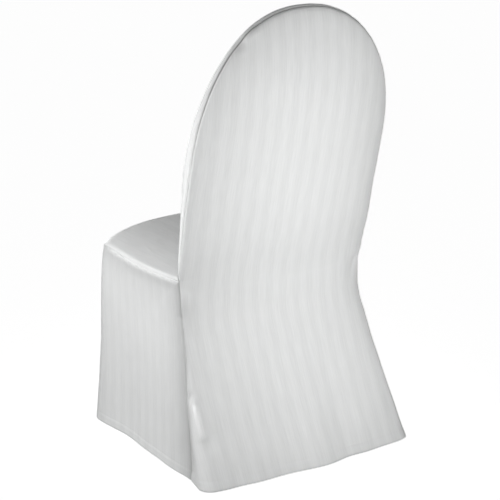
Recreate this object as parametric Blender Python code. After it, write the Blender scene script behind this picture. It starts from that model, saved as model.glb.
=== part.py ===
"""Fitted cover for a round-top chair: five sewn panels of striped satin cloth, open at the floor.

Metres, +Z up. The floor is z = 0, the seat looks towards -Y and the outer back towards +Y.
The origin is on the floor, under the middle of the cover. Left is the +X side.
"""
import math
from collections import namedtuple

import bmesh
import bpy
from mathutils import Vector

# Cloth and seams
CLOTH = 0.002
SEAM_SETBACK = 0.00018
SHARPEST_SLANT = 0.25
SAME_POINT = 0.00001

# Seat: its side edge, its padded crown and its rounded front
SEAT_EDGE = 0.426
SEAT_CROWN = 0.0345
CROWN_POWER = 2.8
REAR_CROWN_SHARE = 0.8
SIDE_BOW = 0.008
SIDE_DIP = 0.003
FRONT_ROLL = 0.032
CORNER_DROP = 0.014
CORNER_TURN = math.radians(60)
CORNER_BLEND = 6

# Round top of the backrest
DOME_CENTRE = 0.689
DOME_RISE = 0.317
DOME_POWER = 2.2
SPOKE_START = 0.55
LIFT_SPAN = 0.16
HANDLE_SHARE = 0.4

# Steps along and across the panels
SKIRT_STEPS = 10
BACKREST_STEPS = 6
DOME_STEPS = 12
REAR_FACE_STEPS = 6
REAR_ROLL_STEPS = 5
STRIP_STEPS = 4
INNER_FACE_STEPS = 6
SEAT_STEPS = 8
CORNER_STEPS = 5
FINE_STEPS = 40

# Outer back, from the floor up: where its rolled edge is, how far its middle bulges, the radius and
# turn of the roll, and the flap that runs on from the roll to the side seam
RearLevel = namedtuple("RearLevel", "height reach place bulge roll turn flap inward")
REAR_LEVELS = (
    RearLevel(0.000, 0.2755, 0.2610, 0.015, 0.028, 90, 0.0535, 0.0125),
    RearLevel(0.128, 0.2625, 0.1945, 0.016, 0.022, 90, 0.0175, 0.0080),
    RearLevel(0.258, 0.2450, 0.1365, 0.018, 0.014, 72, 0.0030, 0.0010),
    RearLevel(0.343, 0.2370, 0.1085, 0.019, 0.013, 60, 0.0, 0.0),
    RearLevel(0.398, 0.2395, 0.1040, 0.020, 0.013, 56, 0.0, 0.0),
    RearLevel(0.426, 0.2465, 0.1145, 0.020, 0.014, 56, 0.0, 0.0),
    RearLevel(0.503, 0.2495, 0.1320, 0.022, 0.018, 56, 0.0, 0.0),
    RearLevel(0.588, 0.2505, 0.1500, 0.024, 0.020, 56, 0.0, 0.0),
    RearLevel(0.689, 0.2505, 0.1750, 0.024, 0.020, 56, 0.0, 0.0),
    RearLevel(0.779, 0.2505, 0.1960, 0.022, 0.020, 56, 0.0, 0.0),
    RearLevel(0.854, 0.2505, 0.2105, 0.018, 0.020, 56, 0.0, 0.0),
    RearLevel(0.918, 0.2505, 0.2185, 0.012, 0.020, 56, 0.0, 0.0),
    RearLevel(1.006, 0.2505, 0.2225, 0.008, 0.020, 56, 0.0, 0.0),
)

# Inner back: the angle in degrees at which it leaves the rear seam, the depth of the backrest at its
# edge, where its front face starts and how far that bulges
InnerLevel = namedtuple("InnerLevel", "height leave depth inset bulge")
INNER_LEVELS = (
    InnerLevel(0.426, 135, 0.034, 0.040, 0.004),
    InnerLevel(0.463, 95, 0.030, 0.030, 0.007),
    InnerLevel(0.503, 65, 0.028, 0.022, 0.010),
    InnerLevel(0.588, 56, 0.034, 0.018, 0.014),
    InnerLevel(0.689, 56, 0.043, 0.016, 0.016),
    InnerLevel(0.779, 56, 0.040, 0.016, 0.016),
    InnerLevel(0.880, 56, 0.033, 0.016, 0.016),
    InnerLevel(0.950, 56, 0.030, 0.016, 0.014),
    InnerLevel(1.006, 56, 0.034, 0.016, 0.006),
)

# Front of the skirt: its side, the place of its front face and the radius of its corner
FrontLevel = namedtuple("FrontLevel", "height side place radius")
FRONT_LEVELS = (
    FrontLevel(0.000, 0.2600, -0.2740, 0.050),
    FrontLevel(0.200, 0.2490, -0.2685, 0.055),
    FrontLevel(0.370, 0.2450, -0.2690, 0.062),
    FrontLevel(0.426, 0.2415, -0.2650, 0.065),
)

# Soft folds of the skirt. Each is deepest at the hem and dies out at its top. The place is the share
# of the way from the rear seam to the front on a side, and from the middle to the left elsewhere.
Fold = namedtuple("Fold", "panel place width depth top")
FOLDS = (
    Fold("back_panel", 0.72, 0.12, -0.0030, 0.36),
    Fold("back_panel", 0.30, 0.16, -0.0030, 0.26),
    Fold("back_panel", -0.08, 0.16, 0.0050, 0.30),
    Fold("back_panel", -0.38, 0.14, -0.0055, 0.28),
    Fold("back_panel", -0.70, 0.14, -0.0030, 0.34),
    Fold("side_skirt_left", 0.20, 0.12, 0.0030, 0.36),
    Fold("side_skirt_left", 0.70, 0.18, -0.0080, 0.34),
    Fold("side_skirt_right", 0.30, 0.14, -0.0060, 0.34),
    Fold("side_skirt_right", 0.68, 0.16, 0.0050, 0.30),
    Fold("seat_front_panel", 0.55, 0.20, 0.0050, 0.30),
    Fold("seat_front_panel", 0.02, 0.20, -0.0040, 0.34),
    Fold("seat_front_panel", -0.48, 0.18, 0.0060, 0.32),
)
HEM_RISE = 0.0015
HEM_WAVES = 5

# Finish, as red, green and blue
SATIN_WHITE = (0.80, 0.815, 0.81)
SATIN_ROUGHNESS = 0.55


def level_value(table, height, column):
    """Smooth value of a named column between the rows of a table, with no overshoot."""
    heights = [row.height for row in table]
    values = [getattr(row, column) for row in table]
    height = min(max(height, heights[0]), heights[-1])
    piece = max(k for k in range(len(table) - 1) if heights[k] <= height)
    slopes = []
    for k in range(len(table) - 1):
        slopes.append((values[k + 1] - values[k]) / (heights[k + 1] - heights[k]))

    def tangent(k):
        if k in (0, len(table) - 1):
            return slopes[min(k, len(slopes) - 1)]
        before, after = slopes[k - 1], slopes[k]
        return 0.0 if before * after <= 0 else 2 * before * after / (before + after)

    span = heights[piece + 1] - heights[piece]
    t = (height - heights[piece]) / span
    start = (2 * t ** 3 - 3 * t ** 2 + 1) * values[piece]
    end = (3 * t ** 2 - 2 * t ** 3) * values[piece + 1]
    lean = (t ** 3 - 2 * t ** 2 + t) * tangent(piece) + (t ** 3 - t ** 2) * tangent(piece + 1)
    return start + end + span * lean


def rear(height, column):
    return level_value(REAR_LEVELS, height, column)


def inner(height, column):
    return level_value(INNER_LEVELS, height, column)


def front(height, column):
    return level_value(FRONT_LEVELS, height, column)


def mix(start, end, share):
    return start + (end - start) * share


def soft_step(share):
    share = min(max(share, 0.0), 1.0)
    return share * share * (3 - 2 * share)


def fold_depth(panel, place, height):
    """How far the folds move the cloth outwards at a place and height of one panel."""
    depth = 0.0
    for fold in FOLDS:
        if fold.panel == panel and height < fold.top:
            shape = math.exp(-((place - fold.place) / fold.width) ** 2)
            depth += fold.depth * shape * soft_step(1 - height / fold.top)
    return depth


def hem_rise(x, y, share_up):
    """Height of the wavy hem over the floor, which dies out quickly up the skirt."""
    wave = 0.5 + 0.5 * math.cos(HEM_WAVES * math.atan2(y, x))
    return HEM_RISE * wave * (1 - share_up) ** 4


class Spoke:
    """One line across a backrest panel, from the middle line out to the outline."""

    def __init__(self, start_height, end_reach, end_height):
        self.start = start_height
        self.reach = end_reach
        self.end = end_height
        self.length = math.hypot(end_reach, end_height - start_height)

    def height_at(self, along):
        return mix(self.start, self.end, along / self.length)

    def point(self, along, place, side):
        return Vector((side * self.reach * along / self.length, place, self.height_at(along)))


def skirt_heights():
    return [SEAT_EDGE * step / SKIRT_STEPS for step in range(SKIRT_STEPS + 1)]


def level_spoke(height):
    return Spoke(height, rear(height, "reach"), height)


def backrest_spokes():
    """Level spokes from the seat to the dome's centre, then spokes that fan out round the dome."""
    spokes = []
    for step in range(BACKREST_STEPS + 1):
        spokes.append(level_spoke(mix(SEAT_EDGE, DOME_CENTRE, step / BACKREST_STEPS)))
    for step in range(1, DOME_STEPS + 1):
        turn = math.radians(90) * step / DOME_STEPS
        reach = rear(DOME_CENTRE, "reach") * max(math.cos(turn), 0.0) ** (2 / DOME_POWER)
        rise = DOME_RISE * math.sin(turn) ** (2 / DOME_POWER)
        reach = 0.0 if step == DOME_STEPS else reach
        spokes.append(Spoke(DOME_CENTRE + SPOKE_START * rise, reach, DOME_CENTRE + rise))
    return spokes


def rear_middle(height):
    return rear(height, "place") + rear(height, "bulge")


def inner_middle(height):
    return rear(height, "place") - inner(height, "depth") - inner(height, "bulge")


def face_profile(spoke, middle, edge, steps):
    """A smooth padded face along a spoke, from the middle line to the point where it starts to roll."""
    gap = middle(spoke.height_at(edge[0])) - edge[1]
    profile = []
    for step in range(steps + 1):
        share = step / steps
        along = edge[0] * share
        profile.append((along, middle(spoke.height_at(along)) - gap * share ** 2))
    return profile


def rear_section(spoke):
    """Distances along a spoke and places of the outer back, from the middle line to the seam."""
    roll = rear(spoke.end, "roll")
    turn = math.radians(rear(spoke.end, "turn"))
    centre = (spoke.length - roll, rear(spoke.end, "place") - roll)
    rough = face_profile(spoke, rear_middle, (centre[0], centre[1] + roll), FINE_STEPS)
    start_turn = math.atan2(rough[-2][1] - rough[-1][1], rough[-1][0] - rough[-2][0])
    edge = (centre[0] + roll * math.sin(start_turn), centre[1] + roll * math.cos(start_turn))
    section = face_profile(spoke, rear_middle, edge, REAR_FACE_STEPS)[:-1]

    arc = roll * (turn - start_turn)
    flap = math.hypot(rear(spoke.end, "flap"), rear(spoke.end, "inward"))
    for step in range(REAR_ROLL_STEPS + 1):
        run = (arc + flap) * step / REAR_ROLL_STEPS
        angle = start_turn + min(run, arc) / roll
        past = max(run - arc, 0.0) / flap if flap > 0 else 0.0
        section.append((centre[0] + roll * math.sin(angle) - past * rear(spoke.end, "inward"),
                        centre[1] + roll * math.cos(angle) - past * rear(spoke.end, "flap")))
    return section


def inner_section(spoke):
    """The same for the inner back: round the backrest's edge from the seam, then to the middle."""
    leave = math.radians(inner(spoke.end, "leave"))
    depth = inner(spoke.end, "depth")
    seam = rear_section(spoke)[-1]
    edge = (spoke.length - inner(spoke.end, "inset"), rear(spoke.end, "place") - depth)
    face = face_profile(spoke, inner_middle, edge, INNER_FACE_STEPS)
    slope = (face[-2][1] - face[-1][1]) / (face[-2][0] - face[-1][0])
    handle = HANDLE_SHARE * depth
    seam_handle = (seam[0] + handle * math.cos(leave), seam[1] - handle * math.sin(leave))
    edge_handle = (edge[0] + handle, edge[1] + handle * slope)

    section = []
    for step in range(STRIP_STEPS):
        t = step / STRIP_STEPS
        weights = ((1 - t) ** 3, 3 * t * (1 - t) ** 2, 3 * t ** 2 * (1 - t), t ** 3)
        corners = (seam, seam_handle, edge_handle, edge)
        section.append(tuple(sum(w * c[k] for w, c in zip(weights, corners)) for k in (0, 1)))
    return section + face[::-1]


def rear_seam(height):
    """Distance from the middle and place of the side seam at a height."""
    return rear_section(level_spoke(height))[-1]


def seat_crown(across, along):
    """Height of the padded seat over its side edge: across from 0 to 1, along from rear to front."""
    return SEAT_CROWN * (1 - across ** CROWN_POWER) * mix(REAR_CROWN_SHARE, 1.0, soft_step(2.5 * along))


def side_edge(share, side):
    """The seat's side seam, from the junction with the back (0) to the front corner (1)."""
    x, y = rear_seam(SEAT_EDGE)
    bend = math.sin(math.pi * share)
    corner = front(SEAT_EDGE, "place") + front(SEAT_EDGE, "radius")
    return Vector((side * (mix(x, front(SEAT_EDGE, "side"), share) + SIDE_BOW * bend),
                   mix(y, corner, share),
                   SEAT_EDGE - SIDE_DIP * bend))


def corner_point(height, turn, side):
    """A point of the skirt's rounded front corner, at a height and an angle from its side face."""
    radius = front(height, "radius")
    return Vector((side * (front(height, "side") - radius * (1 - math.cos(turn))),
                   front(height, "place") + radius * (1 - math.sin(turn)),
                   height))


def corner_edge(share, side):
    """The seat's seam as it goes round the front corner, where it sinks a little."""
    point = corner_point(SEAT_EDGE, CORNER_TURN * share, side)
    point.z = SEAT_EDGE - CORNER_DROP * (1 - math.cos(math.radians(90) * share))
    return point


def back_panel_rows():
    """Rows of the outer back from seam to seam, and round the dome as a fan of spokes."""
    halves = []
    for side in (1, -1):
        rows = []
        levels = [level_spoke(height) for height in skirt_heights()]
        for number, spoke in enumerate(levels + backrest_spokes()[1:]):
            row = []
            section = rear_section(spoke)
            for along, place in section:
                point = spoke.point(along, place, side)
                if spoke.end < SEAT_EDGE:
                    across = side * along / section[-1][0]
                    edge_fade = 1 - abs(across) ** 12
                    point.y += fold_depth("back_panel", across, spoke.end) * max(edge_fade, 0.0)
                    point.z += hem_rise(point.x, point.y, number / SKIRT_STEPS)
                row.append(point)
            rows.append(row)
        halves.append(rows)
    return halves


def lift_over_seat(point, across):
    """Raises the foot of the inner back so that it follows the crowned seat."""
    fade = 1 - (point.z - SEAT_EDGE) / LIFT_SPAN
    if fade > 0:
        point.z += seat_crown(across, 0.0) * fade


def inner_back_rows():
    halves = []
    for side in (1, -1):
        rows = []
        for spoke in backrest_spokes():
            section = inner_section(spoke)
            row = []
            for along, place in section:
                point = spoke.point(along, place, side)
                lift_over_seat(point, min(along / section[0][0], 1.0))
                row.append(point)
            rows.append(row)
        halves.append(rows)
    return halves


def seat_front_rows():
    """Rows of the seat from the backrest forwards, round the front roll and down to the hem."""
    place_front = front(SEAT_EDGE, "place")
    halves = []
    for side in (1, -1):
        spoke = level_spoke(SEAT_EDGE)
        foot = inner_section(spoke)
        shares = [min(along / foot[0][0], 1.0) for along, place in foot]
        blends = [share ** CORNER_BLEND for share in shares]
        rows = []

        for step in range(SEAT_STEPS + 1):
            along = step / SEAT_STEPS
            edge = side_edge(along, side)
            row = []
            for (reach, place), share, blend in zip(foot, shares, blends):
                end = place_front + mix(FRONT_ROLL, front(SEAT_EDGE, "radius"), blend)
                x = edge.x * mix(reach / foot[0][0], share, along)
                row.append(Vector((x, mix(place, end, along), edge.z + seat_crown(share, along))))
            rows.append(row)

        for step in range(1, CORNER_STEPS + 1):
            turn = math.radians(90) * step / CORNER_STEPS
            edge = corner_edge(step / CORNER_STEPS, side)
            place = place_front + FRONT_ROLL * (1 - math.sin(turn))
            drop = FRONT_ROLL * (1 - math.cos(turn))
            plain_edge = Vector((side * front(SEAT_EDGE, "side"), place, SEAT_EDGE - drop))
            row = []
            for share, blend in zip(shares, blends):
                top = SEAT_EDGE + seat_crown(share, 1.0) - drop
                plain = Vector((plain_edge.x * share, place, top))
                row.append(plain + (edge - plain_edge) * blend)
            rows.append(row)

        top_row = rows[-1]
        for step in range(SKIRT_STEPS - 1, -1, -1):
            share_up = step / SKIRT_STEPS
            height = SEAT_EDGE * share_up
            edge = corner_point(height, CORNER_TURN, side)
            plain_edge = Vector((side * front(height, "side"), front(height, "place"), height))
            row = []
            for top, share, blend in zip(top_row, shares, blends):
                point = Vector((plain_edge.x * share, plain_edge.y, height))
                point += (edge - plain_edge) * blend
                fold = fold_depth("seat_front_panel", side * share, height) * (1 - share ** 8)
                point.y -= fold
                point.z = top.z * share_up + hem_rise(point.x, point.y, share_up)
                row.append(point)
            rows.append(row)
        halves.append(rows)
    return halves


def side_skirt_rows(side, name):
    """Rows of a side skirt from the hem up, each from the rear seam to the front corner's seam."""
    tops = [side_edge(step / SEAT_STEPS, side) for step in range(SEAT_STEPS + 1)]
    tops += [corner_edge(step / CORNER_STEPS, side) for step in range(1, CORNER_STEPS + 1)]
    rows = []
    for level, height in enumerate(skirt_heights()[:-1]):
        share_up = level / SKIRT_STEPS
        rear_x, rear_y = rear_seam(height)
        start = corner_point(height, 0.0, side)
        row = []
        for step, top in enumerate(tops):
            if step <= SEAT_STEPS:
                along = step / SEAT_STEPS
                bend = math.sin(math.pi * along)
                reach = mix(rear_x, abs(start.x), along) + SIDE_BOW * bend * share_up ** 3
                reach += fold_depth(name, along, height) * min(3 * bend, 1.0)
                point = Vector((side * reach, mix(rear_y, start.y, along), 0.0))
            else:
                turn = CORNER_TURN * (step - SEAT_STEPS) / CORNER_STEPS
                point = corner_point(height, turn, side)
            point.z = top.z * share_up + hem_rise(point.x, point.y, share_up)
            row.append(point)
        rows.append(row)
    rows.append(tops)
    return rows


def add_rows(sheet, rows, panel, flipped):
    """Adds a grid of rows to the joined sheet, as faces that belong to one panel."""
    grid = [[sheet.verts.new(point) for point in row] for row in rows]
    for lower, upper in zip(grid, grid[1:]):
        for k in range(len(lower) - 1):
            corners = [lower[k], lower[k + 1], upper[k + 1], upper[k]]
            face = sheet.faces.new(corners[::-1] if flipped else corners)
            face.material_index = panel


def joined_sheet(panels):
    """The whole cover as one surface with no thickness, its faces numbered by panel."""
    sheet = bmesh.new()
    for number, (name, grids) in enumerate(panels):
        for rows, flipped in grids:
            add_rows(sheet, rows, number, flipped)
    bmesh.ops.remove_doubles(sheet, verts=sheet.verts, dist=SAME_POINT)
    sheet.normal_update()
    sheet.verts.index_update()
    return sheet


def on_hem(vertex):
    return any(edge.is_boundary for edge in vertex.link_edges)


def inside_point(vertex):
    """The point of the cloth's inner face under a vertex, mitred where panels meet at an angle."""
    normal = vertex.normal.copy()
    if on_hem(vertex):
        normal.z = 0.0
        normal.normalize()
    return vertex.co - normal * CLOTH * min(vertex.calc_shell_factor(), 1.5)


def seam_setback(vertex, panel):
    """How a panel's own vertex draws back from the seams that pass through it."""
    inwards = []
    for edge in vertex.link_edges:
        owners = {face.material_index for face in edge.link_faces}
        if len(owners) < 2 or panel not in owners:
            continue
        face = next(f for f in edge.link_faces if f.material_index == panel)
        along = (edge.verts[1].co - edge.verts[0].co).normalized()
        inward = face.normal.cross(along)
        if inward.dot(face.calc_center_median() - vertex.co) < 0:
            inward.negate()
        inwards.append(inward)
    shift = sum(inwards, Vector()).normalized()
    slant = min((shift.dot(inward) for inward in inwards), default=1.0)
    return shift * SEAM_SETBACK / max(slant, SHARPEST_SLANT)


def satin(name):
    material = bpy.data.materials.new(name)
    material.use_nodes = True
    shader = material.node_tree.nodes["Principled BSDF"]
    shader.inputs["Base Color"].default_value = (*SATIN_WHITE, 1.0)
    shader.inputs["Roughness"].default_value = SATIN_ROUGHNESS
    shader.inputs["Metallic"].default_value = 0.0
    return material


def make_panel(sheet, number, name):
    """A closed solid of cloth from one panel's faces of the joined sheet."""
    solid = bmesh.new()
    outer, inside = {}, {}
    faces = [face for face in sheet.faces if face.material_index == number]
    for face in faces:
        for vertex in face.verts:
            if vertex not in outer:
                shift = seam_setback(vertex, number)
                outer[vertex] = solid.verts.new(vertex.co + shift)
                inside[vertex] = solid.verts.new(inside_point(vertex) + shift)
    for face in faces:
        solid.faces.new([outer[v] for v in face.verts])
        solid.faces.new([inside[v] for v in reversed(face.verts)])
        for loop in face.loops:
            start, end = loop.vert, loop.link_loop_next.vert
            if sum(f.material_index == number for f in loop.edge.link_faces) == 1:
                rim = (outer[end], outer[start], inside[start], inside[end])
                first = 0 if start.index < end.index else 1
                solid.faces.new((rim[first], rim[first + 1], rim[(first + 2) % 4]))
                solid.faces.new((rim[first], rim[(first + 2) % 4], rim[(first + 3) % 4]))

    mesh = bpy.data.meshes.new(name)
    solid.to_mesh(mesh)
    solid.free()
    mesh.materials.append(satin(name + "_satin"))
    mesh.shade_smooth()
    mesh.set_sharp_from_angle(angle=math.radians(50))
    cover_panel = bpy.data.objects.new(name, mesh)
    bpy.context.scene.collection.objects.link(cover_panel)
    return cover_panel


def main():
    for old in list(bpy.data.objects):
        bpy.data.objects.remove(old, do_unlink=True)
    back_left, back_right = back_panel_rows()
    inner_left, inner_right = inner_back_rows()
    seat_left, seat_right = seat_front_rows()
    panels = (
        ("back_panel", ((back_left, True), (back_right, False))),
        ("inner_back_panel", ((inner_left, True), (inner_right, False))),
        ("seat_front_panel", ((seat_left, False), (seat_right, True))),
        ("side_skirt_left", ((side_skirt_rows(1, "side_skirt_left"), True),)),
        ("side_skirt_right", ((side_skirt_rows(-1, "side_skirt_right"), False),)),
    )
    sheet = joined_sheet(panels)
    for number, (name, grids) in enumerate(panels):
        make_panel(sheet, number, name)
    sheet.free()


main()
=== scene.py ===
"""Looks of the fitted chair cover: five sewn panels of striped satin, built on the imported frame.

Metres, +Z up. The outer back looks towards +Y and the seat towards -Y. Left is the +X side.
"""
import math
from collections import namedtuple

import bmesh
import bpy
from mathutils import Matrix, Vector, noise
from mathutils.geometry import intersect_point_line
from mathutils.kdtree import KDTree


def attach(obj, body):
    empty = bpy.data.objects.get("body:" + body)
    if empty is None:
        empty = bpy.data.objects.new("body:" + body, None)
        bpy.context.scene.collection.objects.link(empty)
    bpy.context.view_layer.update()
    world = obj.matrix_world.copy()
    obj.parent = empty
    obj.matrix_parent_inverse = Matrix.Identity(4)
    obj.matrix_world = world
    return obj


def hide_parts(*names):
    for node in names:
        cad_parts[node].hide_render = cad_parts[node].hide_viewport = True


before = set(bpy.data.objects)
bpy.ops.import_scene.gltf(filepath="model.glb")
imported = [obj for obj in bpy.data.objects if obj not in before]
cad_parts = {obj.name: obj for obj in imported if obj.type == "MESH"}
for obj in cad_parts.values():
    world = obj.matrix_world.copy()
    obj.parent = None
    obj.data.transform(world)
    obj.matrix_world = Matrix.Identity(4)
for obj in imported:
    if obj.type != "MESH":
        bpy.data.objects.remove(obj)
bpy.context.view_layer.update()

# Cloth: its thickness, and how near two points are when they are one
CLOTH = 0.001
SAME_POINT = 0.00001

QUARTER_TURN = math.radians(90)

# Seat: its side edge, its padded crown, which is lower at the rear, and its rounded front
SEAT_EDGE = 0.426
SEAT_CROWN = 0.0345
CROWN_POWER = 2.8
REAR_CROWN_SHARE = 0.8
REAR_CROWN_FADE = 2.5
SIDE_BOW = 0.008
SIDE_BOW_POWER = 3
SIDE_DIP = 0.003
FRONT_ROLL = 0.032
CORNER_DROP = 0.014
CORNER_TURN = math.radians(60)
CORNER_BLEND = 6

# Round top of the backrest, half a superellipse in DOME_STEPS to a side. Its spokes start on the
# middle line, SPOKE_START of the way up to their ends.
DOME_CENTRE = 0.689
DOME_RISE = 0.317
DOME_POWER = 2.2
DOME_STEPS = 90
SPOKE_START = 0.55

# Faces of the backrest: how much fuller they are than a plain parabola, the steps that find their
# slope at the edge, how strongly the cloth bends round the edge, and how far up the seat lifts it
FULLNESS = 0.3
FULL_POWER = 8
FINE_STEPS = 40
HANDLE_SHARE = 0.4
LIFT_SPAN = 0.16

# Outer back, from the floor up: where its rolled edge is, how far its middle bulges, the radius and
# turn of the roll, and the flap that runs on from the roll to the side seam
RearLevel = namedtuple("RearLevel", "height reach place bulge roll turn flap inward")
REAR_LEVELS = (
    RearLevel(0.000, 0.2755, 0.2610, 0.015, 0.028, 90, 0.0535, 0.0125),
    RearLevel(0.128, 0.2625, 0.1945, 0.016, 0.022, 90, 0.0175, 0.0080),
    RearLevel(0.258, 0.2450, 0.1365, 0.018, 0.014, 72, 0.0030, 0.0010),
    RearLevel(0.343, 0.2385, 0.1095, 0.019, 0.013, 60, 0.0, 0.0),
    RearLevel(0.392, 0.2405, 0.1080, 0.020, 0.013, 56, 0.0, 0.0),
    RearLevel(0.426, 0.2460, 0.1122, 0.020, 0.014, 56, 0.0, 0.0),
    RearLevel(0.503, 0.2495, 0.1312, 0.022, 0.018, 56, 0.0, 0.0),
    RearLevel(0.588, 0.2505, 0.1500, 0.024, 0.020, 56, 0.0, 0.0),
    RearLevel(0.689, 0.2505, 0.1750, 0.024, 0.020, 56, 0.0, 0.0),
    RearLevel(0.779, 0.2505, 0.1960, 0.022, 0.020, 56, 0.0, 0.0),
    RearLevel(0.854, 0.2505, 0.2105, 0.018, 0.020, 56, 0.0, 0.0),
    RearLevel(0.918, 0.2505, 0.2185, 0.012, 0.020, 56, 0.0, 0.0),
    RearLevel(1.006, 0.2505, 0.2225, 0.008, 0.020, 56, 0.0, 0.0),
)

# Inner back: the angle in degrees at which it leaves the rear seam, the depth of the backrest at its
# edge, where its front face starts and how far that bulges
InnerLevel = namedtuple("InnerLevel", "height leave depth inset bulge")
INNER_LEVELS = (
    InnerLevel(0.426, 135, 0.034, 0.040, 0.004),
    InnerLevel(0.463, 95, 0.030, 0.030, 0.007),
    InnerLevel(0.503, 65, 0.028, 0.022, 0.010),
    InnerLevel(0.588, 56, 0.034, 0.018, 0.014),
    InnerLevel(0.689, 56, 0.043, 0.016, 0.016),
    InnerLevel(0.779, 56, 0.040, 0.016, 0.016),
    InnerLevel(0.880, 56, 0.033, 0.016, 0.016),
    InnerLevel(0.950, 56, 0.030, 0.016, 0.014),
    InnerLevel(1.006, 56, 0.034, 0.016, 0.006),
)

# Front of the skirt: its side, the place of its front face and the radius of its corner
FrontLevel = namedtuple("FrontLevel", "height side place radius")
FRONT_LEVELS = (
    FrontLevel(0.000, 0.2600, -0.2740, 0.050),
    FrontLevel(0.200, 0.2490, -0.2685, 0.055),
    FrontLevel(0.370, 0.2450, -0.2690, 0.062),
    FrontLevel(0.426, 0.2415, -0.2650, 0.065),
)

# Soft folds of the skirt. Each is deepest at the hem and dies out at its top. The place is the share
# of the way from the rear seam to the front on a side, and from the middle to the left edge
# elsewhere.
Fold = namedtuple("Fold", "panel place width depth top")
FOLDS = (
    Fold("back_panel", 0.72, 0.12, -0.0030, 0.36),
    Fold("back_panel", 0.30, 0.16, -0.0030, 0.26),
    Fold("back_panel", -0.08, 0.16, 0.0050, 0.30),
    Fold("back_panel", -0.38, 0.14, -0.0055, 0.28),
    Fold("back_panel", -0.70, 0.14, -0.0030, 0.34),
    Fold("side_skirt_left", 0.20, 0.12, 0.0030, 0.36),
    Fold("side_skirt_left", 0.70, 0.18, -0.0080, 0.34),
    Fold("side_skirt_right", 0.30, 0.14, -0.0060, 0.34),
    Fold("side_skirt_right", 0.68, 0.16, 0.0050, 0.30),
    Fold("seat_front_panel", 0.55, 0.20, 0.0050, 0.30),
    Fold("seat_front_panel", 0.02, 0.20, -0.0040, 0.34),
    Fold("seat_front_panel", -0.48, 0.18, 0.0060, 0.32),
)

# How sharply the folds die out towards the seams of the back, the front and the sides
REAR_FOLD_POWER = 12
FRONT_FOLD_POWER = 8
SIDE_FOLD_FADE = 3

# The hem's waves over the floor: their height and number, and how quickly they die out upwards
HEM_RISE = 0.0015
HEM_WAVES = 5
HEM_RISE_POWER = 4

# Seams, by the panels that meet there: the valley of the stitched line, the ridge that the seam
# allowance makes beside or under it, the painted shade on the stitched line and in the soft hollow
# beside it, and how deep the puckers are
SeamStyle = namedtuple("SeamStyle", "first second valley ridge ridge_place shade soft_shade pucker")
SEAM_STYLES = (
    SeamStyle("back_panel", "inner_back_panel", 0.0015, 0.0006, 0.0055, 0.60, 0.05, 0.0007),
    SeamStyle("back_panel", "side_skirt", 0.0010, 0.0006, 0.0060, 0.36, 0.24, 0.0006),
    SeamStyle("inner_back_panel", "seat_front_panel", 0.0024, 0.0008, 0.0070, 0.30, 0.10, 0.0008),
    SeamStyle("seat_front_panel", "side_skirt", 0.0003, 0.0012, 0.0000, 0.00, 0.20, 0.0003),
)
VALLEY_WIDTH = 0.0017
RIDGE_WIDTH = 0.0032
PUCKER_LENGTH = 0.012
PUCKER_SPREAD = 0.016
SEAM_STEP = 0.0004

# Painted shade: the heights between which the stitched line's shade comes in up the backrest, the soft
# hollow's shade beside a seam, how much darker and how wide it is on the side skirts, and the painted
# shade at the hem's edge
SHADE_RISE = (0.60, 0.90)
SOFT_SHADE_WIDTH = 0.020
SOFT_SHADE_TOP = 0.410
SOFT_SHADE_FADE = 0.05
SKIRT_SHADE = 1.5
SKIRT_SHADE_WIDTH = 0.032
HEM_SHADE = 0.25
HEM_SHADE_WIDTH = 0.003

# The padded seat's side edge is round, up to where the seam turns down the front corner; along it the
# cloth is glossier and has a painted highlight
EDGE_REACH = 0.014
EDGE_DEPTH = 0.0046
EDGE_END = -0.255
EDGE_FADE = 0.06
GLOSS_HIGHLIGHT_WIDTH = 0.0075
GLOSS_HIGHLIGHT_START = 0.085

# Over the backrest's edge, beside the seam, the cloth is also stretched, glossier and has a painted
# highlight
STRIP_WIDTH = 0.018
STRIP_TOP = 0.86
STRIP_FADE = 0.20

# Creases placed one by one: a line on the cover, the width of the trough or ridge along it, its height
# over the plain cloth, and how much gloss and painted highlight lie along it
Crease = namedtuple("Crease", "start end width height polish")
CREASES = (
    # This fold's crest has a painted highlight and more gloss along it
    Crease((0.249, 0.176, 0.160), (0.249, 0.204, 0.106), 0.008, 0.0050, 0.9),
    Crease((0.238, 0.178, 0.165), (0.243, 0.217, 0.080), 0.010, -0.0030, 0.0),
    Crease((0.243, 0.105, 0.340), (0.253, 0.158, 0.190), 0.013, -0.0050, 0.0),
    Crease((0.254, 0.160, 0.180), (0.263, 0.187, 0.025), 0.011, -0.0045, 0.0),
    Crease((0.222, 0.140, 0.260), (0.218, 0.204, 0.113), 0.015, -0.0030, 0.0),
    Crease((0.125, 0.218, 0.962), (0.138, 0.216, 0.953), 0.010, 0.0030, 0.0),
    Crease((0.152, 0.215, 0.942), (0.158, 0.215, 0.936), 0.010, -0.0032, 0.0),
    Crease((-0.220, 0.107, 0.400), (-0.212, 0.108, 0.360), 0.009, -0.0030, 0.0),
    Crease((-0.235, 0.110, 0.400), (-0.160, 0.140, 0.330), 0.014, -0.0015, 0.0),
    Crease((-0.254, 0.108, 0.432), (-0.254, 0.118, 0.462), 0.018, -0.0012, 0.0),
    Crease((0.238, 0.110, 0.420), (0.200, 0.128, 0.375), 0.013, -0.0020, 0.0),
)

# Hem: the cloth is double up to its stitched line
HEM_TURN = 0.019
HEM_STEP = 0.0006
STITCH_GROOVE = 0.0005
STITCH_WIDTH = 0.0016

# Slack of the cloth: unevenness of the taut back and of the loose skirt, and a finer one on top
TAUT_SLACK = 0.0005
LOOSE_SLACK = 0.0013
SLACK_LENGTH = 0.085
FINE_SLACK_SHARE = 0.4
FINE_SLACK_SCALE = 2.3

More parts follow.
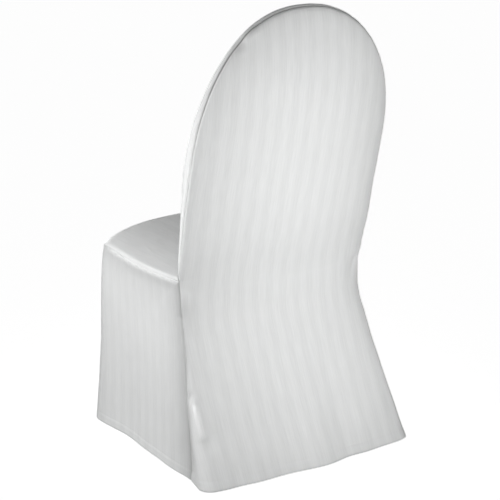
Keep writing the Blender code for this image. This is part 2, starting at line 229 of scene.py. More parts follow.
# Satin: stripes of shiny and matt weave, the slubs of the yarn, and the threads of the weave. The
# stripes start a little beside each panel's middle line or front seam, and on the side skirts they
# spread with the cloth towards the hem.
STRIPE_PERIOD = 0.0365
STRIPE_START = -0.011
SIDE_SPREAD = 0.7
STRIPE_EDGE = 0.22
SATIN_WHITE = (0.812, 0.820, 0.817, 1)
MATTE_WHITE = (0.782, 0.790, 0.787, 1)
# Painted highlight: the whiter colour along the glossy edges and a crease
HIGHLIGHT_WHITE = (0.955, 0.965, 0.960, 1)
SHEEN = 0.12
SHEEN_ROUGHNESS = 0.4
POLISHED_ROUGHNESS = 0.20
SATIN_ROUGHNESS = 0.31
MATTE_ROUGHNESS = 0.44
SLUB_WIDTH = 0.0024
SLUB_LENGTH = 0.050
SLUB_TONE = 0.07
SLUB_DETAIL = 2
THREAD_PITCH = 0.0007
THREAD_HEIGHT = 0.00006

# Stitches of the hem: from one to the next, the share that shows, how softly it ends, its height, and
# how far from the line's middle it is full and gone
STITCH_PITCH = 0.0034
STITCH_SHARE = 0.68
STITCH_EASE = 0.08
STITCH_HEIGHT = 0.0003
STITCH_FULL = 0.0004
STITCH_GONE = 0.0010

# Camera, at the photograph's angle
CAMERA_AZIMUTH = math.radians(145.92)
CAMERA_ELEVATION = math.radians(17.03)
CAMERA_DISTANCE = 3.976
CAMERA_TARGET = Vector((-0.00686, 0.006, 0.427))
CAMERA_LENS = 0.128
SENSOR = 0.036
MILLIMETRES = 1000

# Soft studio light: where each square lamp stands around the cover's middle, in degrees and metres,
# its side and its power in watts
Light = namedtuple("Light", "name azimuth elevation distance size power")
LIGHTS = (
    Light("rear_softbox", 175, -10, 0.8, 0.3, 1.95),
    Light("rear_right_softbox", 205, -25, 0.8, 0.3, 1.1),
    Light("rear_top_softbox", 190, 30, 0.8, 0.3, 0.75),
    Light("camera_softbox", 150, 10, 2.4, 1.0, 10.2),
    Light("left_softbox", 75, 25, 2.4, 1.0, 15),
    Light("left_low_softbox", 85, 0, 1.2, 0.4, 6.6),
    Light("edge_light", 20, 24, 2.4, 0.5, 9),
    Light("front_fill", -8, -6, 3.0, 0.8, 10),
    Light("right_fill", 308, -4, 2.4, 0.8, 26),
)
LIGHT_CENTRE = Vector((0, 0, 0.62))

# The world's light on the cover, how bright the background looks, and the floor
WHITE = (1, 1, 1, 1)
WORLD_LIGHT = 0.125
BACKGROUND = 0.98
FLOOR_SIZE = 60
FLOOR_WHITE = (0.9, 0.9, 0.9, 1)
FLOOR_ROUGHNESS = 0.9
FLOOR_GLOW = 0.87


def level_value(table, height, column):
    """Smooth value of a named column between the rows of a table, with no overshoot."""
    heights = [row.height for row in table]
    values = [getattr(row, column) for row in table]
    height = min(max(height, heights[0]), heights[-1])
    piece = max(k for k in range(len(table) - 1) if heights[k] <= height)
    slopes = []
    for k in range(len(table) - 1):
        slopes.append((values[k + 1] - values[k]) / (heights[k + 1] - heights[k]))

    def tangent(k):
        if k in (0, len(table) - 1):
            return slopes[min(k, len(slopes) - 1)]
        before, after = slopes[k - 1], slopes[k]
        return 0.0 if before * after <= 0 else 2 * before * after / (before + after)

    span = heights[piece + 1] - heights[piece]
    t = (height - heights[piece]) / span
    start = (2 * t ** 3 - 3 * t ** 2 + 1) * values[piece]
    end = (3 * t ** 2 - 2 * t ** 3) * values[piece + 1]
    lean = (t ** 3 - 2 * t ** 2 + t) * tangent(piece) + (t ** 3 - t ** 2) * tangent(piece + 1)
    return start + end + span * lean


def rear(height, column):
    return level_value(REAR_LEVELS, height, column)


def inner(height, column):
    return level_value(INNER_LEVELS, height, column)


def front(height, column):
    return level_value(FRONT_LEVELS, height, column)


def mix(start, end, share):
    return start + (end - start) * share


def soft_step(share):
    share = min(max(share, 0.0), 1.0)
    return share * share * (3 - 2 * share)


def graded(length, fine, coarse, growth, at_start=True, at_end=True):
    """Places from 0 to length, closer together near the ends asked for."""
    places = [0.0]
    while places[-1] < length:
        distances = [places[-1]] * at_start + [max(length - places[-1], 0.0)] * at_end
        places.append(places[-1] + min(coarse, fine + growth * min(distances)))
    return [place * length / places[-1] for place in places]


# Rows and columns of the panels, finer beside the seams and the hem
SKIRT_HEIGHTS = graded(SEAT_EDGE, fine=0.0011, coarse=0.0046, growth=0.05)
BACKREST_RISES = graded(DOME_CENTRE - SEAT_EDGE, fine=0.003, coarse=0.0046, growth=0.05)
BACKREST_HEIGHTS = [SEAT_EDGE + rise for rise in BACKREST_RISES]
SEAT_SHARES = graded(1.0, fine=0.003, coarse=0.014, growth=0.10)
CORNER_SHARES = graded(1.0, fine=0.012, coarse=0.05, growth=0.15, at_start=False)
ROLL_SHARES = graded(1.0, fine=0.018, coarse=0.08, growth=0.15, at_start=False)
STRIP_SHARES = graded(1.0, fine=0.018, coarse=0.08, growth=0.15, at_end=False)
FACE_SHARES = graded(1.0, fine=0.023, coarse=0.023, growth=0.0)


def fold_depth(panel, place, height):
    """How far the folds move the cloth outwards at a place and height of one panel."""
    depth = 0.0
    for fold in FOLDS:
        if fold.panel == panel and height < fold.top:
            shape = math.exp(-((place - fold.place) / fold.width) ** 2)
            depth += fold.depth * shape * soft_step(1 - height / fold.top)
    return depth


def hem_rise(x, y, share_up):
    """Height of the wavy hem over the floor, which dies out quickly up the skirt."""
    wave = 0.5 + 0.5 * math.cos(HEM_WAVES * math.atan2(y, x))
    return HEM_RISE * wave * (1 - share_up) ** HEM_RISE_POWER


class Spoke:
    """One line across a backrest panel, from the middle line out to the outline."""

    def __init__(self, start_height, end_reach, end_height):
        self.start = start_height
        self.reach = end_reach
        self.end = end_height
        self.length = math.hypot(end_reach, end_height - start_height)

    def height_at(self, along):
        return mix(self.start, self.end, along / self.length)

    def point(self, along, place, side):
        return Vector((side * self.reach * along / self.length, place, self.height_at(along)))

    def cloth_place(self, run, side):
        """Flat place in the cloth after a run along the spoke: across and along the stripes."""
        rise = (self.end - self.start) / self.length
        return (side * run * self.reach / self.length, self.start + run * rise)


def level_spoke(height):
    return Spoke(height, rear(height, "reach"), height)


def backrest_spokes():
    """Level spokes from the seat to the dome's centre, then spokes that fan out round the dome."""
    spokes = [level_spoke(height) for height in BACKREST_HEIGHTS]
    for step in range(1, DOME_STEPS + 1):
        turn = QUARTER_TURN * step / DOME_STEPS
        reach = rear(DOME_CENTRE, "reach") * max(math.cos(turn), 0.0) ** (2 / DOME_POWER)
        rise = DOME_RISE * math.sin(turn) ** (2 / DOME_POWER)
        reach = 0.0 if step == DOME_STEPS else reach
        spokes.append(Spoke(DOME_CENTRE + SPOKE_START * rise, reach, DOME_CENTRE + rise))
    return spokes


def rear_middle(height):
    return rear(height, "place") + rear(height, "bulge")


def inner_middle(height):
    return rear(height, "place") - inner(height, "depth") - inner(height, "bulge")


def face_profile(spoke, middle, edge, shares):
    """A smooth padded face along a spoke, from the middle line to where it starts to roll. Its curve
    is a little fuller than a plain parabola, so that it bends most near its edge."""
    gap = middle(spoke.height_at(edge[0])) - edge[1]
    profile = []
    for share in shares:
        along = edge[0] * share
        fall = mix(share ** 2, share ** FULL_POWER, FULLNESS)
        profile.append((along, middle(spoke.height_at(along)) - gap * fall))
    return profile


def rear_section(spoke):
    """Distances along a spoke and places of the outer back, from the middle line to the seam."""
    roll = rear(spoke.end, "roll")
    turn = math.radians(rear(spoke.end, "turn"))
    centre = (spoke.length - roll, rear(spoke.end, "place") - roll)

    # The roll starts where it has the slope of the face's last step.
    last_two = ((FINE_STEPS - 1) / FINE_STEPS, 1.0)
    before, rough_edge = face_profile(spoke, rear_middle, (centre[0], centre[1] + roll), last_two)
    start_turn = math.atan2(before[1] - rough_edge[1], rough_edge[0] - before[0])
    edge = (centre[0] + roll * math.sin(start_turn), centre[1] + roll * math.cos(start_turn))
    section = face_profile(spoke, rear_middle, edge, FACE_SHARES)[:-1]

    arc = roll * (turn - start_turn)
    flap = math.hypot(rear(spoke.end, "flap"), rear(spoke.end, "inward"))
    for share in ROLL_SHARES:
        run = (arc + flap) * share
        angle = start_turn + min(run, arc) / roll
        past = max(run - arc, 0.0) / flap if flap > 0 else 0.0
        section.append((centre[0] + roll * math.sin(angle) - past * rear(spoke.end, "inward"),
                        centre[1] + roll * math.cos(angle) - past * rear(spoke.end, "flap")))
    return section


def inner_section(spoke):
    """The same for the inner back: round the backrest's edge from the seam, then to the middle."""
    leave = math.radians(inner(spoke.end, "leave"))
    depth = inner(spoke.end, "depth")
    seam = rear_section(spoke)[-1]
    edge = (spoke.length - inner(spoke.end, "inset"), rear(spoke.end, "place") - depth)
    face = face_profile(spoke, inner_middle, edge, FACE_SHARES)
    slope = (face[-2][1] - face[-1][1]) / (face[-2][0] - face[-1][0])
    handle = HANDLE_SHARE * depth
    seam_handle = (seam[0] + handle * math.cos(leave), seam[1] - handle * math.sin(leave))
    edge_handle = (edge[0] + handle, edge[1] + handle * slope)

    section = []
    for t in STRIP_SHARES[:-1]:
        weights = ((1 - t) ** 3, 3 * t * (1 - t) ** 2, 3 * t ** 2 * (1 - t), t ** 3)
        corners = (seam, seam_handle, edge_handle, edge)
        section.append(tuple(sum(w * c[k] for w, c in zip(weights, corners)) for k in (0, 1)))
    return section + face[::-1]


def rear_seam(height):
    """Distance from the middle and place of the side seam at a height."""
    return rear_section(level_spoke(height))[-1]


def seat_crown(across, along):
    """Height of the padded seat over its side edge, at shares of the way out and to the front."""
    rear_share = mix(REAR_CROWN_SHARE, 1.0, soft_step(REAR_CROWN_FADE * along))
    return SEAT_CROWN * (1 - across ** CROWN_POWER) * rear_share


SEAT_CORNER = rear_seam(SEAT_EDGE)


def side_edge(share, side):
    """The seat's side seam, from the junction with the back (0) to the front corner (1)."""
    x, y = SEAT_CORNER
    bend = math.sin(math.pi * share)
    corner = front(SEAT_EDGE, "place") + front(SEAT_EDGE, "radius")
    return Vector((side * (mix(x, front(SEAT_EDGE, "side"), share) + SIDE_BOW * bend),
                   mix(y, corner, share),
                   SEAT_EDGE - SIDE_DIP * bend))


def corner_point(height, turn, side):
    """A point of the skirt's rounded front corner, at a height and an angle from its side face."""
    radius = front(height, "radius")
    return Vector((side * (front(height, "side") - radius * (1 - math.cos(turn))),
                   front(height, "place") + radius * (1 - math.sin(turn)),
                   height))


def corner_edge(share, side):
    """The seat's seam as it goes round the front corner, where it sinks a little."""
    point = corner_point(SEAT_EDGE, CORNER_TURN * share, side)
    point.z = SEAT_EDGE - CORNER_DROP * (1 - math.cos(QUARTER_TURN * share))
    return point


def runs(points):
    """Lengths along a line of points, from its start."""
    lengths = [0.0]
    for before, after in zip(points, points[1:]):
        lengths.append(lengths[-1] + math.dist(before, after))
    return lengths


def back_panel_rows(side):
    """Rows of one half of the outer back, each a list of points with their places in the cloth."""
    rows = []
    levels = [level_spoke(height) for height in SKIRT_HEIGHTS]
    for spoke in levels + backrest_spokes()[1:]:
        row = []
        section = rear_section(spoke)
        for (along, place), run in zip(section, runs(section)):
            point = spoke.point(along, place, side)
            if spoke.end < SEAT_EDGE:
                across = side * along / section[-1][0]
                edge_fade = 1 - abs(across) ** REAR_FOLD_POWER
                point.y += fold_depth("back_panel", across, spoke.end) * max(edge_fade, 0.0)
                point.z += hem_rise(point.x, point.y, spoke.end / SEAT_EDGE)
            row.append((point, spoke.cloth_place(run, side)))
        rows.append(row)
    return rows


def lift_over_seat(point, across):
    """Raises the foot of the inner back so that it follows the crowned seat."""
    fade = 1 - (point.z - SEAT_EDGE) / LIFT_SPAN
    if fade > 0:
        point.z += seat_crown(across, 0.0) * fade


def inner_back_rows(side):
    """The same for one half of the inner back."""
    rows = []
    for spoke in backrest_spokes():
        section = inner_section(spoke)
        lengths = runs(section)
        row = []
        for (along, place), run in zip(section, lengths):
            point = spoke.point(along, place, side)
            lift_over_seat(point, min(along / section[0][0], 1.0))
            row.append((point, spoke.cloth_place(lengths[-1] - run, side)))
        rows.append(row)
    return rows


def seat_front_points(side):
    """Grid of points of one half of the seat, from the backrest forwards and down to the hem."""
    place_front = front(SEAT_EDGE, "place")
    foot = inner_section(level_spoke(SEAT_EDGE))
    shares = [min(along / foot[0][0], 1.0) for along, place in foot]
    blends = [share ** CORNER_BLEND for share in shares]
    rows = []

    for along in SEAT_SHARES:
        edge = side_edge(along, side)
        row = []
        for (reach, place), share, blend in zip(foot, shares, blends):
            end = place_front + mix(FRONT_ROLL, front(SEAT_EDGE, "radius"), blend)
            x = edge.x * mix(reach / foot[0][0], share, along)
            row.append(Vector((x, mix(place, end, along), edge.z + seat_crown(share, along))))
        rows.append(row)

    for corner_share in CORNER_SHARES[1:]:
        turn = QUARTER_TURN * corner_share
        edge = corner_edge(corner_share, side)
        place = place_front + FRONT_ROLL * (1 - math.sin(turn))
        drop = FRONT_ROLL * (1 - math.cos(turn))
        plain_edge = Vector((side * front(SEAT_EDGE, "side"), place, SEAT_EDGE - drop))
        row = []
        for share, blend in zip(shares, blends):
            top = SEAT_EDGE + seat_crown(share, 1.0) - drop
            plain = Vector((plain_edge.x * share, place, top))
            row.append(plain + (edge - plain_edge) * blend)
        rows.append(row)

    top_row = rows[-1]
    for height in SKIRT_HEIGHTS[-2::-1]:
        share_up = height / SEAT_EDGE
        edge = corner_point(height, CORNER_TURN, side)
        plain_edge = Vector((side * front(height, "side"), front(height, "place"), height))
        row = []
        for top, share, blend in zip(top_row, shares, blends):
            point = Vector((plain_edge.x * share, plain_edge.y, height))
            point += (edge - plain_edge) * blend
            edge_fade = 1 - share ** FRONT_FOLD_POWER
            point.y -= fold_depth("seat_front_panel", side * share, height) * edge_fade
            point.z = top.z * share_up + hem_rise(point.x, point.y, share_up)
            row.append(point)
        rows.append(row)
    return rows


def seat_front_rows(side):
    """The same grid with the points' places in the cloth, from its middle line and its rear edge."""
    points = seat_front_points(side)
    down_middle = runs([row[-1] for row in points])
    rows = []
    for row, along in zip(points, down_middle):
        lengths = runs(row)
        places = [(side * (lengths[-1] - run), along) for run in lengths]
        rows.append(list(zip(row, places)))
    return rows


def side_skirt_points(side, name):
    """Grid of points of a side skirt from the hem up, from the rear seam to the front corner's."""
    tops = [side_edge(share, side) for share in SEAT_SHARES]
    tops += [corner_edge(share, side) for share in CORNER_SHARES[1:]]
    grid = []
    for height in SKIRT_HEIGHTS[:-1]:
        share_up = height / SEAT_EDGE
        rear_x, rear_y = rear_seam(height)
        start = corner_point(height, 0.0, side)
        row = []
        for along in SEAT_SHARES:
            bend = math.sin(math.pi * along)
            reach = mix(rear_x, abs(start.x), along) + SIDE_BOW * bend * share_up ** SIDE_BOW_POWER
            reach += fold_depth(name, along, height) * min(SIDE_FOLD_FADE * bend, 1.0)
            row.append(Vector((side * reach, mix(rear_y, start.y, along), 0.0)))
        for share in CORNER_SHARES[1:]:
            row.append(corner_point(height, CORNER_TURN * share, side))
        for point, top in zip(row, tops):
            point.z = top.z * share_up + hem_rise(point.x, point.y, share_up)
        grid.append(row)
    grid.append(tops)
    return grid


def side_skirt_rows(side, name):
    """The same grid with the points' places in the cloth, from the front corner's seam and the floor."""
    points = side_skirt_points(side, name)
    middle_length = runs(points[len(points) // 2])[-1]
    rows = []
    for row in points:
        lengths = runs(row)
        spread = mix(1.0, middle_length / lengths[-1], SIDE_SPREAD)
        places = [((lengths[-1] - run) * spread, point.z) for point, run in zip(row, lengths)]
        rows.append(list(zip(row, places)))
    return rows


def both_halves(make_rows, flipped):
    """The left and right halves of a panel, whose faces run opposite ways round."""
    return ((make_rows(1), flipped), (make_rows(-1), not flipped))


Panel = namedtuple("Panel", "name grids flat area held")


def panels():
    """The five panels: their grids, the size and area of their cloth, and how it is held."""
    side_cut = ((0.47, 0.43), 0.175, "hung")
    return (
        Panel("back_panel", both_halves(back_panel_rows, True), (0.72, 1.10), 0.52, "stretched"),
        Panel("inner_back_panel", both_halves(inner_back_rows, True), (0.60, 0.62), 0.29, "stretched"),
        Panel("seat_front_panel", both_halves(seat_front_rows, False), (0.55, 0.80), 0.37, "stretched"),
        Panel("side_skirt_left", ((side_skirt_rows(1, "side_skirt_left"), True),), *side_cut),
        Panel("side_skirt_right", ((side_skirt_rows(-1, "side_skirt_right"), False),), *side_cut),
    )


def add_rows(sheet, cloth, rows, number, flipped):
    """Adds a grid of rows to the joined sheet, with each face corner's flat place in the cloth."""
    grid = [[(sheet.verts.new(point), place) for point, place in row] for row in rows]
    for lower, upper in zip(grid, grid[1:]):
        for k in range(len(lower) - 1):
            corners = [lower[k], lower[k + 1], upper[k + 1], upper[k]]
            corners = corners[::-1] if flipped else corners
            face = sheet.faces.new([vertex for vertex, place in corners])
            face.material_index = number
            face.smooth = True
            for loop, (vertex, place) in zip(face.loops, corners):
                loop[cloth].uv = place


def joined_sheet(cover):
    """The whole cover as one surface with no thickness, its faces numbered by panel."""
    sheet = bmesh.new()
    cloth = sheet.loops.layers.uv.new("cloth")
    for number, panel in enumerate(cover):
        for rows, flipped in panel.grids:
            add_rows(sheet, cloth, rows, number, flipped)
    bmesh.ops.remove_doubles(sheet, verts=sheet.verts, dist=SAME_POINT)
    sheet.normal_update()
    sheet.verts.index_update()
    return sheet


def seam_style(first, second):
    """The style of the seam between two panels, by their names."""
    for style in SEAM_STYLES:
        for one, other in ((first, second), (second, first)):
            if one.startswith(style.first) and other.startswith(style.second):
                return style
    raise ValueError(f"no seam joins {first} and {second}")


def seam_points(sheet, cover):
    """Points close together along each panel's seams, each with the seam's style."""
    points = [[] for panel in cover]
    for edge in sheet.edges:
        numbers = sorted({face.material_index for face in edge.link_faces})
        if len(numbers) == 2:
            style = seam_style(*(cover[number].name for number in numbers))
            start, end = (vertex.co for vertex in edge.verts)
            steps = max(int(edge.calc_length() / SEAM_STEP), 1)
            for number in numbers:
                points[number] += [(start.lerp(end, step / steps), style) for step in range(steps)]
    return points


def point_tree(points):
    """A tree that finds the nearest of a panel's seam points."""
    tree = KDTree(len(points))
    for number, (point, style) in enumerate(points):
        tree.insert(point, number)
    tree.balance()
    return tree


def bell(distance, width):
    """A soft bump of height 1 that fades out at about twice its width."""
    return math.exp(-(distance / width) ** 2)


def seam_relief(style, seam_point, distance):
    """Height of the seam's valley, its ridges and its puckers over the plain cloth."""
    relief = -style.valley * bell(distance, VALLEY_WIDTH)
    relief += style.ridge * bell(distance - style.ridge_place, RIDGE_WIDTH)
    pucker = style.pucker * noise.noise(seam_point / PUCKER_LENGTH)
    return relief + pucker * math.exp(-distance / PUCKER_SPREAD)


def edge_relief(style, seam_point, distance):
    """How far the cloth near the seat's side edge sinks, so that the edge is round."""
    if style.first != "seat_front_panel" or distance > EDGE_REACH:
        return 0.0
    fade = soft_step((seam_point.y - EDGE_END) / EDGE_FADE)
    return -EDGE_DEPTH * fade * (1 - distance / EDGE_REACH) ** 2


def line_shade(style, seam_point, distance, on_side):
    """How much painted shade darkens the cloth on the stitched line and in the soft hollow beside it.
    Round the backrest the line fades out below the top. The hollow is darker and wider on the side
    skirts, and on the panels beside them it fades out below the seat's side edge."""
    line, hollow_shade, width = style.shade, style.soft_shade, SOFT_SHADE_WIDTH
    if style.second == "inner_back_panel":
        low, high = SHADE_RISE
        line *= soft_step((seam_point.z - low) / (high - low))
    if on_side:
        hollow_shade, width = SKIRT_SHADE * hollow_shade, SKIRT_SHADE_WIDTH
    elif style.second == "side_skirt":
        hollow_shade *= soft_step((SOFT_SHADE_TOP - seam_point.z) / SOFT_SHADE_FADE)
    return max(line * bell(distance, VALLEY_WIDTH), hollow_shade * math.exp(-distance / width))


def edge_gloss(style, seam_point, distance, name):
    """1 where the cloth over an edge of the seat or of the backrest has more gloss and a painted
    highlight.
    """
    if style.second == "inner_back_panel" and name == "inner_back_panel":
        return soft_step((STRIP_TOP - seam_point.z) / STRIP_FADE) * bell(distance, STRIP_WIDTH)
    if style.first != "seat_front_panel":
        return 0.0
    rear_fade = soft_step((GLOSS_HIGHLIGHT_START - seam_point.y) / EDGE_FADE + 0.5)
    front_fade = soft_step((seam_point.y - EDGE_END) / EDGE_FADE - 0.5)
    return rear_fade * front_fade * bell(distance, GLOSS_HIGHLIGHT_WIDTH)


def hem_relief(height):
    """The hem's second layer of cloth and the line of stitches that holds it."""
    relief = HEM_STEP * soft_step((HEM_TURN - height) / STITCH_WIDTH + 0.5)
    return relief - STITCH_GROOVE * bell(height - HEM_TURN, STITCH_WIDTH)


def slack_relief(point):
    """Unevenness of the cloth, which grows down the skirt."""
    depth = mix(TAUT_SLACK, LOOSE_SLACK, soft_step((SEAT_EDGE - point.z) / SEAT_EDGE))
    coarse = noise.noise(point / SLACK_LENGTH)
    fine = noise.noise(point * FINE_SLACK_SCALE / SLACK_LENGTH)
    return depth * (coarse + FINE_SLACK_SHARE * fine)


def crease_share(crease, point):
    """1 on the crease's line, and less away from it."""
    nearest, share = intersect_point_line(point, crease.start, crease.end)
    nearest = Vector(crease.start).lerp(Vector(crease.end), min(max(share, 0.0), 1.0))
    return bell((point - nearest).length, crease.width)


def crease_relief(point):
    return sum(crease.height * crease_share(crease, point) for crease in CREASES)


# Painted highlight and gloss along the creases that have them
def crease_highlight_and_gloss(point):
    return max(crease.polish * crease_share(crease, point) for crease in CREASES)


def add_relief(sheet, cover):
    """Moves the joined sheet's points by its seams, creases, hem and slack, and notes for the satin
    the painted shade there, the gloss with its painted highlight, and how high it was over the floor."""
    points = seam_points(sheet, cover)
    trees = [point_tree(panel_points) for panel_points in points]
    seam_shade = sheet.verts.layers.float.new("seam_shade")
    hem_height = sheet.verts.layers.float.new("hem_height")
    highlight_and_gloss = sheet.verts.layers.float.new("edge_gloss")
    moves = []
    for vertex in sheet.verts:
        panel = vertex.link_faces[0].material_index
        name = cover[panel].name
        seam_point, number, distance = trees[panel].find(vertex.co)
        style = points[panel][number][1]
        vertex[hem_height] = vertex.co.z
        vertex[highlight_and_gloss] = max(edge_gloss(style, seam_point, distance, name), crease_highlight_and_gloss(vertex.co))
        shade = line_shade(style, seam_point, distance, name.startswith("side_skirt"))
        # Painted shade along the hem's edge, where it meets the floor
        hem_shade = HEM_SHADE * bell(vertex.co.z, HEM_SHADE_WIDTH)
        vertex[seam_shade] = max(shade * (1 - vertex[highlight_and_gloss]), hem_shade)
        height = seam_relief(style, seam_point, distance) + edge_relief(style, seam_point, distance)
        height += hem_relief(vertex.co.z)
        height += slack_relief(vertex.co) + crease_relief(vertex.co)
        moves.append(vertex.normal * height)
    for vertex, move in zip(sheet.verts, moves):
        vertex.co += move


def add_object(name, data):
    """A new object in the scene."""
    thing = bpy.data.objects.new(name, data)
    bpy.context.scene.collection.objects.link(thing)
    return thing


def new_material(name):
    """A new material and its shader node."""
    material = bpy.data.materials.new(name)
    material.use_nodes = True
    return material, material.node_tree.nodes["Principled BSDF"]


def add_node(tree, kind, **settings):
    node = tree.nodes.new(kind)
    for name, value in settings.items():
        setattr(node, name, value)
    return node


def feed(tree, socket, value):
    """Links an input to another node's output, or sets it to a plain value."""
    if isinstance(value, bpy.types.NodeSocket):
        tree.links.new(value, socket)
    else:
        socket.default_value = value


def math_node(tree, operation, *values):
    """The output of a math node on outputs or plain numbers."""
    node = add_node(tree, "ShaderNodeMath", operation=operation)
    for socket, value in zip(node.inputs, values):
        feed(tree, socket, value)
    return node.outputs[0]


def range_node(tree, value, low, high, to_low, to_high):
    """A smooth step of a value from one range to another."""
    node = add_node(tree, "ShaderNodeMapRange", interpolation_type="SMOOTHSTEP")
    for socket, number in zip(node.inputs, (value, low, high, to_low, to_high)):
        feed(tree, socket, number)
    return node.outputs[0]


def colour_mix(tree, factor, first, second):
    """A mix of two colours, the second where the factor is 1."""
    node = add_node(tree, "ShaderNodeMix", data_type="RGBA")
    for name, value in (("Factor", factor), ("A", first), ("B", second)):
        feed(tree, node.inputs[name], value)
    return node.outputs["Result"]


def attribute(tree, name):
    """A value that add_relief has noted on the cloth."""
    return add_node(tree, "ShaderNodeAttribute", attribute_name=name).outputs["Fac"]


def stripe_mask(tree, across):
    """1 on the shiny stripes and 0 on the matt ones between them."""
    offset = math_node(tree, "SUBTRACT", across, STRIPE_START)
    wave = math_node(tree, "PINGPONG", math_node(tree, "DIVIDE", offset, STRIPE_PERIOD / 2), 1.0)
    return range_node(tree, wave, 0.5 - STRIPE_EDGE, 0.5 + STRIPE_EDGE, 0.0, 1.0)


def slubs(tree, across, along):
    """Fine streaks along the stripes, from -1 to 1, where the yarn is thicker or thinner."""
    place = add_node(tree, "ShaderNodeCombineXYZ")
    feed(tree, place.inputs["X"], math_node(tree, "DIVIDE", across, SLUB_WIDTH))
    feed(tree, place.inputs["Y"], math_node(tree, "DIVIDE", along, SLUB_LENGTH))
    streaks = add_node(tree, "ShaderNodeTexNoise", noise_dimensions="2D")
    feed(tree, streaks.inputs["Scale"], 1.0)
    feed(tree, streaks.inputs["Detail"], SLUB_DETAIL)
    feed(tree, streaks.inputs["Vector"], place.outputs[0])
    return math_node(tree, "MULTIPLY_ADD", streaks.outputs["Fac"], 2.0, -1.0)


def weave_height(tree, across, along):
    """Height of the threads: rows of small bumps, each row shifted by half a thread."""
    turns = 2 * math.pi / THREAD_PITCH
    warp = math_node(tree, "SINE", math_node(tree, "MULTIPLY", across, turns))
    weft = math_node(tree, "SINE", math_node(tree, "MULTIPLY", along, turns))
    return math_node(tree, "MULTIPLY", math_node(tree, "MULTIPLY", warp, weft), THREAD_HEIGHT)


def stitch_height(tree, across):
    """The hem's stitches: short raised dashes in the groove above the hem."""
    over_line = math_node(tree, "SUBTRACT", attribute(tree, "hem_height"), HEM_TURN)
    line = range_node(tree, math_node(tree, "ABSOLUTE", over_line), STITCH_FULL, STITCH_GONE, 1.0, 0.0)
    place = math_node(tree, "FRACT", math_node(tree, "DIVIDE", across, STITCH_PITCH))
    middle = math_node(tree, "ABSOLUTE", math_node(tree, "SUBTRACT", place, 0.5))
    dash = range_node(tree, middle, STITCH_SHARE / 2 - STITCH_EASE, STITCH_SHARE / 2, 1.0, 0.0)
    return math_node(tree, "MULTIPLY", math_node(tree, "MULTIPLY", line, dash), STITCH_HEIGHT)


def satin_colour(tree, stripe, across, along):
    """White in stripes with the yarn's streaks, a painted highlight on the glossy edges, and painted
    shade by the seams and the hem.
    """
    striped = colour_mix(tree, stripe, MATTE_WHITE, SATIN_WHITE)
    highlighted = colour_mix(tree, attribute(tree, "edge_gloss"), striped, HIGHLIGHT_WHITE)
    streaks = math_node(tree, "MULTIPLY_ADD", slubs(tree, across, along), SLUB_TONE, 1.0)
    light = math_node(tree, "SUBTRACT", 1.0, attribute(tree, "seam_shade"))
    shaded = add_node(tree, "ShaderNodeVectorMath", operation="SCALE")
    feed(tree, shaded.inputs[0], highlighted)
    feed(tree, shaded.inputs["Scale"], math_node(tree, "MULTIPLY", streaks, light))
    return shaded.outputs[0]


def satin_roughness(tree, stripe):
    """Gloss of the stripes, and a higher one where the painted highlight lies."""
    striped = range_node(tree, stripe, 0.0, 1.0, MATTE_ROUGHNESS, SATIN_ROUGHNESS)
    change = math_node(tree, "SUBTRACT", POLISHED_ROUGHNESS, striped)
    return math_node(tree, "MULTIPLY_ADD", attribute(tree, "edge_gloss"), change, striped)


def satin(name):
    """White satin with woven stripes: colour, gloss and threads follow the cloth's own places."""
    material, shader = new_material(name)
    tree = material.node_tree
    split = add_node(tree, "ShaderNodeSeparateXYZ")
    feed(tree, split.inputs[0], add_node(tree, "ShaderNodeUVMap", uv_map="cloth").outputs["UV"])
    across, along = split.outputs["X"], split.outputs["Y"]
    stripe = stripe_mask(tree, across)
    bump = add_node(tree, "ShaderNodeBump")
    feed(tree, bump.inputs["Distance"], 1.0)
    height = math_node(tree, "ADD", weave_height(tree, across, along), stitch_height(tree, across))
    feed(tree, bump.inputs["Height"], height)

    feed(tree, shader.inputs["Base Color"], satin_colour(tree, stripe, across, along))
    feed(tree, shader.inputs["Roughness"], satin_roughness(tree, stripe))
    feed(tree, shader.inputs["Sheen Weight"], SHEEN)
    feed(tree, shader.inputs["Sheen Roughness"], SHEEN_ROUGHNESS)
    feed(tree, shader.inputs["Normal"], bump.outputs["Normal"])
    return material


def make_panel(sheet, number, panel, material):
    """One panel as a thin closed sheet that stands for its CAD node."""
    own = sheet.copy()
    others = [face for face in own.faces if face.material_index != number]
    bmesh.ops.delete(own, geom=others, context="FACES")
    for face in own.faces:
        face.material_index = 0
    mesh = bpy.data.meshes.new(panel.name + "_satin")
    own.to_mesh(mesh)
    own.free()
    mesh.materials.append(material)
    piece = add_object(panel.name + "_satin", mesh)
    thickness = piece.modifiers.new("thickness", "SOLIDIFY")
    thickness.thickness = CLOTH
    thickness.offset = -1
    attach(piece, "root")
    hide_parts(panel.name)
    return piece


def make_cover():
    """The five pieces, cut from one joined sheet so that they meet at the seams."""
    cover = panels()
    sheet = joined_sheet(cover)
    add_relief(sheet, cover)
    material = satin("striped_satin_white")
    pieces = [make_panel(sheet, number, panel, material) for number, panel in enumerate(cover)]
    sheet.free()
    return pieces


def light_only(sources, receivers):
    """Lets lamps or glowing surfaces light nothing but the given objects."""
    lit = bpy.data.collections.new("lit_by_" + sources[0].name)
    for receiver in receivers:
        lit.objects.link(receiver)
    for source in sources:
        source.light_linking.receiver_collection = lit


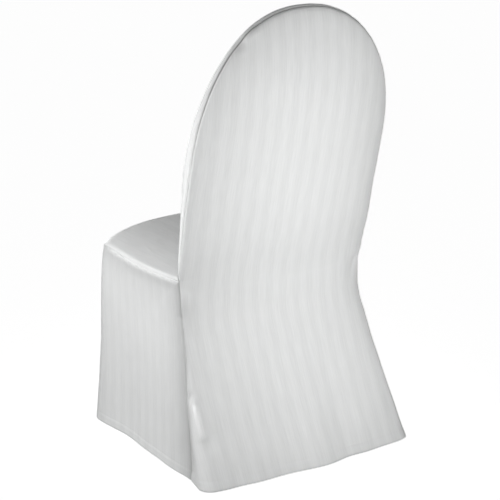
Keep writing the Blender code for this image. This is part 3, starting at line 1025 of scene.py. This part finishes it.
def make_floor():
    """A wide pale floor that glows enough to look white."""
    bpy.ops.mesh.primitive_plane_add(size=FLOOR_SIZE)
    floor = bpy.context.object
    floor.name = "studio_floor"
    material, shader = new_material("pale_floor")
    shader.inputs["Base Color"].default_value = FLOOR_WHITE
    shader.inputs["Roughness"].default_value = FLOOR_ROUGHNESS
    shader.inputs["Emission Color"].default_value = WHITE
    shader.inputs["Emission Strength"].default_value = FLOOR_GLOW
    floor.data.materials.append(material)
    light_only([floor], [floor])


def aim(thing, place, target):
    """Puts a camera or lamp at a place and turns it towards a target."""
    thing.location = place
    thing.rotation_mode = "QUATERNION"
    thing.rotation_quaternion = (target - place).to_track_quat("-Z", "Y")


def direction(azimuth, elevation):
    """From the object towards a camera or lamp at an azimuth and elevation."""
    level = math.cos(elevation)
    return Vector((math.sin(azimuth) * level, -math.cos(azimuth) * level, math.sin(elevation)))


def make_camera():
    """The camera of the photograph, as fitted to the cover's outline there."""
    data = bpy.data.cameras.new("camera")
    data.lens = CAMERA_LENS * MILLIMETRES
    data.sensor_width = SENSOR * MILLIMETRES
    camera = add_object("camera", data)
    back = direction(CAMERA_AZIMUTH, CAMERA_ELEVATION)
    aim(camera, CAMERA_TARGET + back * CAMERA_DISTANCE, CAMERA_TARGET)
    bpy.context.scene.camera = camera


def make_lights(pieces):
    """The studio's lamps, which light the cover alone."""
    lamps = []
    for light in LIGHTS:
        data = bpy.data.lights.new(light.name, "AREA")
        data.size = light.size
        data.energy = light.power
        lamp = add_object(light.name, data)
        towards = direction(math.radians(light.azimuth), math.radians(light.elevation))
        aim(lamp, LIGHT_CENTRE + towards * light.distance, LIGHT_CENTRE)
        lamps.append(lamp)
    light_only(lamps, pieces)


def make_world():
    """A white world, brighter to look at than the light it gives."""
    world = bpy.data.worlds.new("studio")
    bpy.context.scene.world = world
    world.use_nodes = True
    tree = world.node_tree
    background = tree.nodes["Background"]
    background.inputs["Color"].default_value = WHITE
    seen = add_node(tree, "ShaderNodeLightPath").outputs["Is Camera Ray"]
    extra = BACKGROUND - WORLD_LIGHT
    feed(tree, background.inputs["Strength"], math_node(tree, "MULTIPLY_ADD", seen, extra, WORLD_LIGHT))
    bpy.context.scene.view_settings.view_transform = "Standard"


make_camera()
cover_pieces = make_cover()
make_floor()
make_lights(cover_pieces)
make_world()
